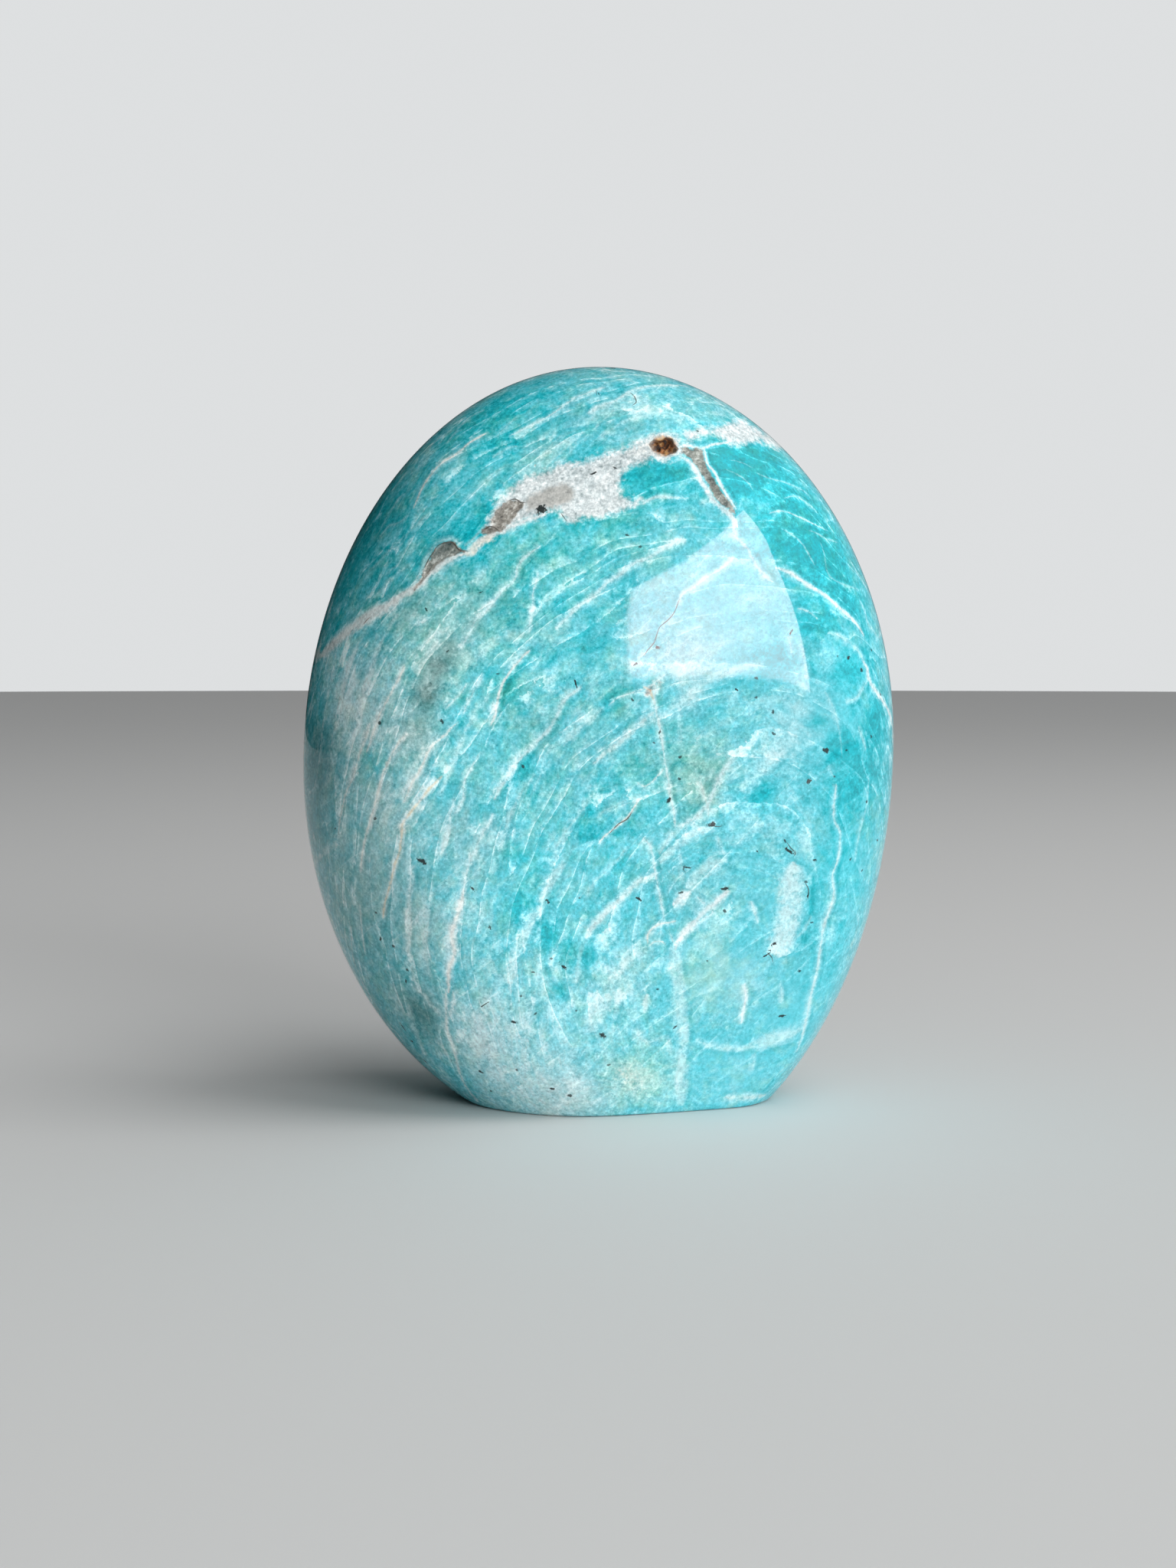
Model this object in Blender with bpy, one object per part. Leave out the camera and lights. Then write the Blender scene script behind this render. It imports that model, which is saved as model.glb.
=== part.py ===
"""A polished freeform of amazonite: one upright, egg-shaped stone, ground broad and nearly flat
on its front and back, and cut flat below so that it stands by itself.

The frame is in metres with +Z up. The origin lies under the middle of the stone, on the surface
that it stands on. The broad front face looks along -Y, and +X is to its right.
"""

import math

import bmesh
import bpy

MM = 0.001

# The outline seen from the front. Each side is a quarter ellipse above its widest point and
# another below it. The lower one would close a little under the cut, at its drop.
HEIGHT = 120.0 * MM
HALF_WIDTH = 48.5 * MM
RIGHT_WIDEST_Z = 59.1 * MM
RIGHT_DROP = 73.2 * MM
LEFT_WIDEST_Z = 54.4 * MM
LEFT_DROP = 61.2 * MM

# The side view: the full swell that the stone would have before its broad faces were ground.
SWELL_WIDEST_Z = 56.5 * MM
SWELL_DROP = 66.8 * MM
FRONT_SWELL = 34.0 * MM
BACK_SWELL = 32.0 * MM

# The ground facets, as depth from the middle plane at the origin's axis and at the height of the
# swell, with the change of that depth for each metre to the right and for each metre up.
FRONT_FACETS = (
    (24.5 * MM, -0.090, -0.030),
    (41.0 * MM, 0.150, -0.450),
    (38.5 * MM, -0.350, 0.350),
)
BACK_FACETS = (
    (25.65 * MM, 0.060, -0.020),
    (38.0 * MM, 0.300, -0.300),
)
FACET_SHARPNESS = 16.0

# The edge round the cut, which is only just broken by the polisher.
BASE_EDGE = 0.5 * MM
BASE_EDGE_STEPS = 2

# The mesh: columns of points round the stone, and rows of them from the cut to the top.
COLUMNS = 84
ROWS = 36
TOP_GAP_ANGLE = math.radians(2.4)

# The finish of polished amazonite.
STONE_COLOR = (0.115, 0.480, 0.465, 1.0)
STONE_ROUGHNESS = 0.14
STONE_METALLIC = 0.0


def quarter(z, reach, widest_z, drop):
    """How far an outline of quarter ellipses stands from the axis at height z."""
    span = HEIGHT - widest_z if z > widest_z else drop
    rise = min(abs(z - widest_z) / span, 1.0)
    return reach * math.sqrt(1.0 - rise * rise)


def facet_depth(facet, x, z):
    """The depth of one ground facet in front of, or behind, the middle plane."""
    depth, per_right, per_up = facet
    return depth + per_right * x + per_up * (z - SWELL_WIDEST_Z)


def ground_depth(swell, facets, x, z):
    """The swell with its facets ground in: the smallest depth of them all, with soft ridges."""
    if swell <= 0.0:
        return 0.0
    depths = [swell] + [facet_depth(facet, x, z) for facet in facets]
    least = min(depths)
    total = sum((least / depth) ** FACET_SHARPNESS for depth in depths)
    return least * total ** (-1.0 / FACET_SHARPNESS)


def surface_point(turn, z):
    """The point of the polished surface at an angle round the axis, from +X, and at height z."""
    across = math.cos(turn)
    along = math.sin(turn)
    if across > 0.0:
        x = across * quarter(z, HALF_WIDTH, RIGHT_WIDEST_Z, RIGHT_DROP)
    else:
        x = across * quarter(z, HALF_WIDTH, LEFT_WIDEST_Z, LEFT_DROP)
    if along < 0.0:
        swell = -along * quarter(z, FRONT_SWELL, SWELL_WIDEST_Z, SWELL_DROP)
        return x, -ground_depth(swell, FRONT_FACETS, x, z), z
    swell = along * quarter(z, BACK_SWELL, SWELL_WIDEST_Z, SWELL_DROP)
    return x, ground_depth(swell, BACK_FACETS, x, z), z


def row_heights():
    """Heights of the rows from the cut up, closer together where the stone rounds over."""
    middle = 0.5 * (HEIGHT - LEFT_DROP + LEFT_WIDEST_Z)
    reach = HEIGHT - middle
    lowest = math.asin(middle / reach)
    highest = math.pi / 2.0 - TOP_GAP_ANGLE
    step = (highest + lowest) / (ROWS - 1)
    return [middle + reach * math.sin(-lowest + step * row) for row in range(ROWS)]


def polished_material():
    """The blue-green of the stone under its polish."""
    material = bpy.data.materials.new("polished amazonite")
    material.use_nodes = True
    shader = material.node_tree.nodes["Principled BSDF"]
    shader.inputs["Base Color"].default_value = STONE_COLOR
    shader.inputs["Roughness"].default_value = STONE_ROUGHNESS
    shader.inputs["Metallic"].default_value = STONE_METALLIC
    return material


def stone_mesh():
    """One closed body: rows of points bridged from the cut to the top, and both ends filled."""
    body = bmesh.new()
    rows = []
    for height in row_heights():
        ring = []
        for column in range(COLUMNS):
            turn = 2.0 * math.pi * column / COLUMNS
            ring.append(body.verts.new(surface_point(turn, height)))
        rows.append(ring)
    for low, high in zip(rows, rows[1:]):
        for column in range(COLUMNS):
            after = (column + 1) % COLUMNS
            body.faces.new((low[column], low[after], high[after], high[column]))

    top = body.verts.new((0.0, 0.0, HEIGHT))
    for column in range(COLUMNS):
        after = (column + 1) % COLUMNS
        body.faces.new((rows[-1][column], rows[-1][after], top))
    cut = body.faces.new(list(reversed(rows[0])))

    bmesh.ops.bevel(
        body,
        geom=list(cut.edges),
        offset=BASE_EDGE,
        offset_type="OFFSET",
        segments=BASE_EDGE_STEPS,
        profile=0.5,
        affect="EDGES",
    )
    bmesh.ops.recalc_face_normals(body, faces=body.faces)
    mesh = bpy.data.meshes.new("amazonite_stone")
    body.to_mesh(mesh)
    body.free()
    mesh.shade_smooth()
    mesh.set_sharp_from_angle(angle=math.radians(40.0))
    return mesh


for old in list(bpy.data.objects):
    bpy.data.objects.remove(old)

stone = bpy.data.objects.new("amazonite_stone", stone_mesh())
stone.data.materials.append(polished_material())
bpy.context.scene.collection.objects.link(stone)
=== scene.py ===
import math

import bpy
import numpy as np
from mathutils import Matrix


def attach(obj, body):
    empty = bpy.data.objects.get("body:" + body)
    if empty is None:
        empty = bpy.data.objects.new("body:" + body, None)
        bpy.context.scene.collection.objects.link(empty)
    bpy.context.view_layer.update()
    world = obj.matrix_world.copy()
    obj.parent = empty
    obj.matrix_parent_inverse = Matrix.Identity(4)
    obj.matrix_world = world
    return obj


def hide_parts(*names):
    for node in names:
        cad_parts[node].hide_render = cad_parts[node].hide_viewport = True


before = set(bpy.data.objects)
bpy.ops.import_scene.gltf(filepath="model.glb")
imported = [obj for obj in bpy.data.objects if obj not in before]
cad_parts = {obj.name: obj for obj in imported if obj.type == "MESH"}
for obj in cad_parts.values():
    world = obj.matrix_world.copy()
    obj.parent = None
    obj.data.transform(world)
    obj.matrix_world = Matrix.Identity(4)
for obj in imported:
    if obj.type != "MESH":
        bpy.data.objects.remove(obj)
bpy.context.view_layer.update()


# The camera
# A camera held a little above the middle of the stone, looking straight at its broad face and
# slightly down. It comes first because the veins are placed by where they show in its picture.

MM = 0.001
CAMERA_AT = (-1.69, -378.4, 73.71)
CAMERA_PITCH = math.radians(3.3)
FOCAL_PIXELS = 3000.0
PHOTO_WIDTH, PHOTO_HEIGHT = 1536, 2048
SENSOR = 36.0


def add_object(name, data):
    """A new object of the scene with the given data."""
    made = bpy.data.objects.new(name, data)
    bpy.context.scene.collection.objects.link(made)
    return made


camera_data = bpy.data.cameras.new("camera")
camera_data.sensor_width = SENSOR
camera_data.lens = SENSOR * FOCAL_PIXELS / PHOTO_HEIGHT
camera_data.clip_start = 0.01
camera = add_object("camera", camera_data)
camera.location = [MM * value for value in CAMERA_AT]
camera.rotation_euler = (math.pi / 2.0 - CAMERA_PITCH, 0.0, 0.0)
bpy.context.scene.camera = camera


def photo_point(points):
    """Where points of the stone, in millimetres, show in the photograph: x and y in its pixels."""
    away = points - np.array(CAMERA_AT)
    depth = away[:, 1] * math.cos(CAMERA_PITCH) - away[:, 2] * math.sin(CAMERA_PITCH)
    rise = away[:, 1] * math.sin(CAMERA_PITCH) + away[:, 2] * math.cos(CAMERA_PITCH)
    across = PHOTO_WIDTH / 2 + FOCAL_PIXELS * away[:, 0] / depth
    down = PHOTO_HEIGHT / 2 - FOCAL_PIXELS * rise / depth
    return np.stack((across, down), axis=1)


def photo_ray(pixels, y):
    """The points on the camera's rays through those pixels at the given y, as x and z in millimetres."""
    right = (pixels[:, 0] - PHOTO_WIDTH / 2) / FOCAL_PIXELS
    up = (PHOTO_HEIGHT / 2 - pixels[:, 1]) / FOCAL_PIXELS
    forward_y = math.cos(CAMERA_PITCH) + up * math.sin(CAMERA_PITCH)
    forward_z = up * math.cos(CAMERA_PITCH) - math.sin(CAMERA_PITCH)
    reach = (y - CAMERA_AT[1]) / forward_y
    return CAMERA_AT[0] + reach * right, CAMERA_AT[2] + reach * forward_z


# The stone
# One lump of amazonite, sawn flat below and polished all over: an upright egg whose broad front and
# back were ground nearly flat. Everything here is in millimetres until the mesh is finished.

HEIGHT = 120.0
HALF_WIDTH = 48.5
RIGHT_WIDEST_Z, RIGHT_DROP = 59.1, 73.2
LEFT_WIDEST_Z, LEFT_DROP = 54.4, 61.2
SWELL_WIDEST_Z, SWELL_DROP = 56.5, 66.8
FRONT_SWELL, BACK_SWELL = 34.0, 32.0
FRONT_FACETS = ((24.5, -0.090, -0.030), (41.0, 0.150, -0.450), (38.5, -0.350, 0.350))
BACK_FACETS = ((25.65, 0.060, -0.020), (38.0, 0.300, -0.300))
FACET_SHARPNESS = 16.0
MIDDLE_Z = 56.6
BASE_EDGE = 0.5
FRONT_LIMIT = -0.2
SEARCH_REACH, SEARCH_STEPS = 36.0, 30


def quarter(z, reach, widest_z, drop):
    """How far an outline of quarter ellipses stands from the axis at height z."""
    span = np.where(z > widest_z, HEIGHT - widest_z, drop)
    rise = np.minimum(np.abs(z - widest_z) / span, 1.0)
    return reach * np.sqrt(1.0 - rise * rise)


def ground(swell, facets, x, z):
    """The swell with its facets ground in, as depth from the middle plane, with soft ridges."""
    depths = [np.maximum(swell, 0.001)]
    for depth, per_right, per_up in facets:
        depths.append(depth + per_right * x + per_up * (z - SWELL_WIDEST_Z))
    least = np.min(depths, axis=0)
    total = sum((least / depth) ** FACET_SHARPNESS for depth in depths)
    return np.where(swell > 0.001, least * total ** (-1.0 / FACET_SHARPNESS), np.maximum(swell, 0.0))


def half_width(x_sign, z):
    """How far the outline seen from the front reaches to one side at height z."""
    right = quarter(z, HALF_WIDTH, RIGHT_WIDEST_Z, RIGHT_DROP)
    left = quarter(z, HALF_WIDTH, LEFT_WIDEST_Z, LEFT_DROP)
    return np.where(x_sign > 0.0, right, left)


def on_stone(directions):
    """The polished surface's points in millimetres, one for each direction of a unit sphere."""
    flat = np.sqrt(directions[:, 0] ** 2 + directions[:, 1] ** 2)
    flat = np.maximum(flat, 1e-9)
    z = MIDDLE_Z + (HEIGHT - MIDDLE_Z) * directions[:, 2]
    x = half_width(directions[:, 0], z) * directions[:, 0] / flat
    along = np.abs(directions[:, 1]) / flat
    front = ground(along * quarter(z, FRONT_SWELL, SWELL_WIDEST_Z, SWELL_DROP), FRONT_FACETS, x, z)
    back = ground(along * quarter(z, BACK_SWELL, SWELL_WIDEST_Z, SWELL_DROP), BACK_FACETS, x, z)
    return np.stack((x, np.where(directions[:, 1] < 0.0, -front, back), z), axis=1)


def direction_at(x, z, side):
    """The unit sphere's direction of the surface point at x and z, on the front (-1) or back (1)."""
    up = np.clip((z - MIDDLE_Z) / (HEIGHT - MIDDLE_Z), -0.9999, 0.9999)
    flat = np.sqrt(1.0 - up * up)
    across = np.clip(x / np.maximum(half_width(x, z), 1e-6), -1.0, 1.0)
    along = np.sqrt(np.maximum(1.0 - across * across, 0.0))
    return np.stack((flat * across, side * flat * along, up), axis=1)


def seen_direction(pixels):
    """The unit sphere's directions of the points that show at pixels of the photograph."""
    pixels = np.array(pixels, float)
    near, far = np.full(len(pixels), -SEARCH_REACH), np.zeros(len(pixels))
    for step in range(SEARCH_STEPS):
        middle = (near + far) / 2.0
        x, z = photo_ray(pixels, middle)
        inside = middle > on_stone(direction_at(x, z, -1.0))[:, 1]
        far = np.where(inside, middle, far)
        near = np.where(inside, near, middle)
    x, z = photo_ray(pixels, far)
    return direction_at(x, z, -1.0)


bpy.ops.object.select_all(action="DESELECT")
bpy.ops.mesh.primitive_ico_sphere_add(subdivisions=7, radius=1.0)
stone = bpy.context.object
stone.name = stone.data.name = "polished_stone"


def rows(parts, name):
    """What every vertex or face of a mesh keeps under a name, as one row each of an array."""
    flat = np.empty(3 * len(parts))
    parts.foreach_get(name, flat)
    return flat.reshape(-1, 3)


def move(points):
    """Puts the vertices of the stone's mesh at those points, given in metres."""
    stone.data.vertices.foreach_set("co", points.ravel())
    stone.data.update()


def on_sphere(points):
    """The points moved straight out or in to the unit sphere."""
    return points / np.linalg.norm(points, axis=1, keepdims=True)


def refine(chosen):
    """Splits the chosen faces in edit mode and puts the new points back on the unit sphere."""
    mesh = stone.data
    mesh.vertices.foreach_set("select", np.zeros(len(mesh.vertices), bool))
    mesh.edges.foreach_set("select", np.zeros(len(mesh.edges), bool))
    mesh.polygons.foreach_set("select", chosen)
    bpy.ops.object.mode_set(mode="EDIT")
    bpy.ops.mesh.select_mode(type="FACE")
    bpy.ops.mesh.subdivide(number_cuts=1, smoothness=0.0)
    bpy.ops.mesh.quads_convert_to_tris()
    bpy.ops.object.mode_set(mode="OBJECT")
    move(on_sphere(rows(mesh.vertices, "co")))


# Open places in the polish, as outlines of x and y in turn, in the photograph's pixels: the rusty vug
# at the top of the main vein, and the grey quartz that lies a little below the polish in it.
VUG = (
    846, 580, 853, 573, 862, 575, 870, 570, 879, 573, 881, 580, 887, 586, 884, 592, 875, 594, 868, 597,
    861, 592, 852, 590,
)
POCKET_LEFT = (
    540, 773, 543, 764, 550, 753, 554, 742, 559, 733, 564, 724, 568, 717, 573, 712, 580, 708, 588, 707,
    594, 709, 598, 715, 604, 718, 611, 719, 606, 723, 597, 724, 588, 727, 579, 733, 572, 737, 566, 744,
    559, 751, 552, 759, 546, 767,
)
POCKET_MIDDLE = (
    627, 698, 630, 692, 635, 688, 643, 688, 640, 682, 645, 673, 651, 664, 657, 657, 664, 654, 673, 652,
    684, 657, 683, 664, 677, 668, 673, 674, 668, 681, 662, 688, 655, 694, 646, 696, 637, 699,
)
POCKETS = (VUG, POCKET_LEFT, POCKET_MIDDLE)


def depth_inside(outline, pixels):
    """How deep each pixel is inside a closed outline, in pixels; outside it is negative."""
    corners = np.reshape(outline, (-1, 2)).astype(float)
    after = np.roll(corners, -1, axis=0)
    nearest = np.full(len(pixels), 1e9)
    inside = np.zeros(len(pixels), bool)
    for (ax, ay), (bx, by) in zip(corners, after):
        run = np.array((bx - ax, by - ay))
        offset = pixels - np.array((ax, ay))
        share = np.clip(offset @ run / (run @ run), 0.0, 1.0)
        gap = offset - share[:, None] * run
        nearest = np.minimum(nearest, np.hypot(gap[:, 0], gap[:, 1]))
        if ay != by:
            crossing = (pixels[:, 1] < ay) != (pixels[:, 1] < by)
            where_x = ax + (pixels[:, 1] - ay) * (bx - ax) / (by - ay)
            inside ^= crossing & (pixels[:, 0] < where_x)
    return np.where(inside, nearest, -nearest)


refine(rows(stone.data.polygons, "center")[:, 1] < FRONT_LIMIT)
for margin, outlines in ((10.0, POCKETS), (5.0, (VUG,))):
    middles = on_sphere(rows(stone.data.polygons, "center"))
    seen = photo_point(on_stone(middles))
    near_pocket = np.zeros(len(middles), bool)
    for outline in outlines:
        near_pocket |= (depth_inside(outline, seen) > -margin) & (middles[:, 1] < 0.0)
    refine(near_pocket)

move(on_stone(rows(stone.data.vertices, "co")) * MM)

# The saw cut below, and the narrow rounded edge that the polisher left round it.
EDGE_RINGS = (1.0, 0.55, 0.2, 0.0)
BASE_HALF_WIDTH, BASE_HALF_DEPTH = 25.5, 17.5
FACING_Y = -2.0
bpy.ops.object.mode_set(mode="EDIT")
for share in EDGE_RINGS:
    bpy.ops.mesh.select_all(action="SELECT")
    bpy.ops.mesh.bisect(plane_co=(0.0, 0.0, share * BASE_EDGE * MM), plane_no=(0.0, 0.0, 1.0),
                        clear_inner=share == 0.0, use_fill=share == 0.0, threshold=1e-7)
bpy.ops.object.mode_set(mode="OBJECT")

points = rows(stone.data.vertices, "co") / MM
points[:, 2] = np.maximum(points[:, 2], 0.0)
outward = points[:, :2] / np.array((BASE_HALF_WIDTH**2, BASE_HALF_DEPTH**2))
outward /= np.maximum(np.linalg.norm(outward, axis=1, keepdims=True), 1e-9)
below = np.clip(BASE_EDGE - points[:, 2], 0.0, BASE_EDGE)
inset = BASE_EDGE - np.sqrt(np.maximum(BASE_EDGE**2 - below**2, 0.0))
points[:, :2] -= outward * inset[:, None]
surface = points.copy()
pixels = photo_point(surface)
facing = surface[:, 1] < FACING_Y

# The pockets sink below the polish: (outline, depth and width of the slope at its edge in mm, how
# uneven the floor is). The vug is the deepest and the most uneven.
SINKS = ((VUG, 1.7, 0.5, 0.3), (POCKET_LEFT, 0.2, 0.5, 0.08), (POCKET_MIDDLE, 0.2, 0.5, 0.08))
PIXELS_PER_MM = 8.4
broken = (np.sin(3.1 * surface[:, 0] + 1.3) * np.sin(3.7 * surface[:, 2] + 0.4)
          + 0.6 * np.sin(7.3 * surface[:, 0] - 4.1 * surface[:, 2]))
for outline, depth, slope, uneven in SINKS:
    inside = np.clip(depth_inside(outline, pixels) / PIXELS_PER_MM / slope, 0.0, 1.0)
    inside = inside * inside * (3.0 - 2.0 * inside) * facing
    points[:, 1] += depth * inside * (1.0 + uneven * broken)
move(points * MM)

bpy.ops.object.shade_smooth_by_angle(angle=math.radians(40.0))

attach(stone, "root")
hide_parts("amazonite_stone")


# The veins
# Threads and seams of white feldspar that healed the stone's cracks, some of them stained cream or
# ochre by iron, with the pale and grey patches, dark cracks, painted shade along the pockets' upper
# edges and black specks between them.

# Each vein is a tuple: its half width in mm, how stained and how strong it is from 0 to 1, how milky
# the stone is beside it on its two sides, and the points it runs through: x and y in the photograph's
# pixels, in turn. A minus before x puts a point on the back, where it would show through clear stone.
# A side made less milky is partly the stone's deeper colour and partly painted shade, as on the shaded
# flank of a ridge.
MAIN_VEIN = (
    (1.25, 0.2, 1, 0.05, 0, (419, 858, 430, 846, 440, 837, 452, 827, 471, 812, 495, 798, 510, 789,
     522, 781)),
    (0.7, 0.25, 1, 0.05, 0, (505, 792, 519, 782, 530, 775, 541, 768, 552, 760, 559, 750, 568, 744,
     575, 737, 586, 731, 597, 726, 606, 724)),
    (0.9, 0.6, 1, 0, 0, (600, 726, 608, 723, 615, 721, 621, 715, 627, 709, 635, 703, 642, 699, 650, 696)),
    (0.34, 0.15, 1, 0, 0, (644, 699, 653, 695, 662, 690, 673, 686, 686, 680, 699, 676, 713, 671,
     722, 667)),
    (0.35, 0.05, 0.8, 0, 0, (541, 764, 548, 750, 553, 738, 560, 724, 568, 713, 580, 705, 592, 704,
     602, 711)),
    (0.3, 0.05, 0.7, 0, 0, (606, 714, 618, 704, 628, 693, 635, 683)),
    (0.28, 0.05, 0.9, 0, 0, (826, 660, 838, 658, 851, 651, 862, 649, 880, 650, 900, 651)),
)

LEFT_ARCS = (
    (0.25, 0.35, 0.9, 0.05, 0.05, (483, 943, 478, 962, 469, 987, 461, 1014, 451, 1039, 444, 1071,
     441, 1096)),
    (0.2, 0.4, 0.9, 0.05, 0.05, (530, 868, 522, 884, 515, 897, 506, 914, 499, 926, 492, 945, 486, 962,
     478, 985)),
    (0.25, 0.4, 0.9, -0.15, 0.1, (533, 957, 522, 968, 511, 987, 503, 1004, 497, 1022, 492, 1043, 486, 1064,
     479, 1088, 474, 1110, 471, 1140)),
    (0.18, 0.05, 0.9, 0.05, 0, (612, 890, 599, 909, 591, 916, 580, 928)),
    (0.15, 0.05, 0.9, 0.05, 0, (631, 880, 627, 890, 620, 899, 614, 913, 608, 924, 603, 938)),
    (0.22, 0.4, 0.9, 0.05, 0.1, (599, 942, 589, 951, 582, 960, 570, 968, 561, 979, 555, 991, 547, 1010,
     539, 1020, 532, 1037, 526, 1050)),
    (0.28, 0.85, 0.9, 0.05, 0.05, (578, 1013, 562, 1029, 547, 1048, 534, 1064, 526, 1075, 524, 1096,
     522, 1113, 515, 1131, 510, 1154, 503, 1178, 500, 1200)),
    (0.25, 0.3, 1, 0.12, -0.25, (694, 847, 679, 862, 665, 879, 656, 894, 650, 914, 647, 933, 640, 950)),
    (0.14, 0, 0.9, 0.05, 0, (628, 980, 616, 1002, 608, 1014, 605, 1033, 603, 1048, 590, 1068)),
    (0.34, 0.05, 0.9, 0.05, -0.12, (760, 895, 752, 903, 738, 913, 727, 935, 715, 955, 704, 966, 687, 983,
     677, 993, 666, 1010, 654, 1027, 645, 1045)),
    (0.22, 0.1, 0.9, 0.05, 0.03, (645, 1060, 638, 1075, 627, 1096, 618, 1115, 611, 1134, 607, 1152,
     606, 1167)),
    (0.52, 0.3, 0.95, 0.03, 0.03, (606, 1160, 601, 1184, 597, 1198, 591, 1213, 591, 1230, 593, 1246,
     587, 1263, 586, 1280, 586, 1297)),
    (0.2, 0.3, 0.9, 0, 0.03, (583, 1288, 582, 1309, 583, 1332, 585, 1351, 591, 1366, 595, 1381, 599, 1397,
     605, 1412, 614, 1427, 626, 1440)),
    (0.16, 0.1, 0.9, 0, 0, (591, 1290, 593, 1305, 590, 1318, 583, 1332)),
    (0.15, 0, 0.9, 0.03, 0.03, (593, 1040, 591, 1052, 589, 1062, 585, 1083, 582, 1100, 574, 1119)),
    (0.25, 0.2, 0.85, 0.05, 0, (540, 1128, 537, 1150, 535, 1169, 534, 1198, 534, 1223, 534, 1242,
     538, 1259, 541, 1274, 543, 1290, 555, 1301, 562, 1313, 574, 1322, 581, 1330)),
    (0.5, 0, 0.8, 0.05, 0.05, (738, 1127, 723, 1144, 712, 1167, 704, 1188, 691, 1205, 683, 1227, 673, 1246,
     668, 1269, 666, 1285)),
    (0.26, 0, 0.9, 0.12, 0, (707, 712, 686, 728, 677, 739, 671, 759, 656, 770, 644, 787, 633, 799,
     623, 808, 610, 833, 600, 848)),
    (0.12, 0, 0.9, 0, 0.05, (702, 743, 701, 759, 696, 774, 696, 793, 692, 812, 692, 831)),
    (0.55, 0, 0.7, 0, 0, (534, 1312, 541, 1337, 547, 1360, 556, 1378)),
    (0.15, 0.1, 0.8, 0, 0, (568, 1356, 582, 1374, 586, 1383)),
    (0.13, 0.5, 0.7, 0, 0, (470, 1180, 471, 1198, 474, 1226, 478, 1250)),
    (0.13, 0.6, 0.7, 0, 0, (458, 1205, 459, 1223, 461, 1250, 469, 1272, 482, 1300)),
    (0.15, 0.1, 0.8, 0, 0, (568, 820, 556, 838, 545, 852, 538, 866)),
    (0.2, 0.05, 0.7, 0.04, 0, (520, 800, 505, 825, 493, 850, 484, 880, 474, 905)),
    (0.15, 0.05, 0.7, 0.04, 0, (470, 835, 458, 865, 449, 900, 441, 935)),
    (0.25, 0.05, 0.6, 0.04, 0, (640, 905, 622, 930, 607, 955, 596, 985, 585, 1010, 575, 1040)),
    (0.2, 0.05, 0.7, 0.04, 0, (700, 1010, 684, 1030, 670, 1056, 660, 1085, 652, 1115)),
    (0.18, 0.05, 0.6, 0.04, 0, (560, 1180, 556, 1215, 557, 1250, 563, 1280)),
)

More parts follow.
